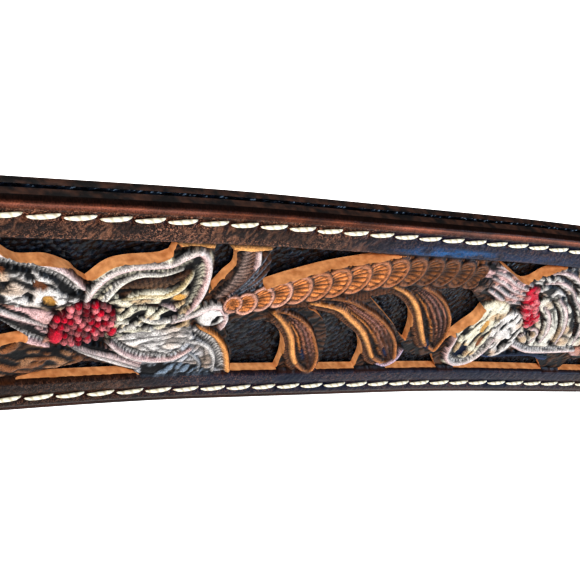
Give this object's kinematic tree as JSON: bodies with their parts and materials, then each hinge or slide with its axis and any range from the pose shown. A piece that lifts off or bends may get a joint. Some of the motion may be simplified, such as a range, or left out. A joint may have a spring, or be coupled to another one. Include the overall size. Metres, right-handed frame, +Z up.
{
  "type": "western tooled belt",
  "caption": "Leather belt fastened as a loop on its edge: pierced, carved floral front layer with stitched borders over a black pebbled backing, plain buckle.",
  "frame": {"origin": "under the middle of the loop's bounding box, on the surface that the lower edge stands on", "axes": "+X along the longer way of the loop, with the pictured stretch on the -Y side and its outer face towards -Y; +Z up, across the belt's width"},
  "size_m": [0.4212, 0.2698, 0.038],
  "materials": {
    "tooled_leather": "carved, stained dark brown and painted",
    "pebbled_leather": "black pebble grain, rough cut edge",
    "buckle_metal": "satin",
    "keeper_leather": "smooth dark brown"
  },
  "bodies": {
    "root": {"tooled_front_strap": "tooled_leather", "pebbled_backing_strap": "pebbled_leather", "plain_buckle": "buckle_metal", "plain_keeper": "keeper_leather"}
  },
  "joints": []
}
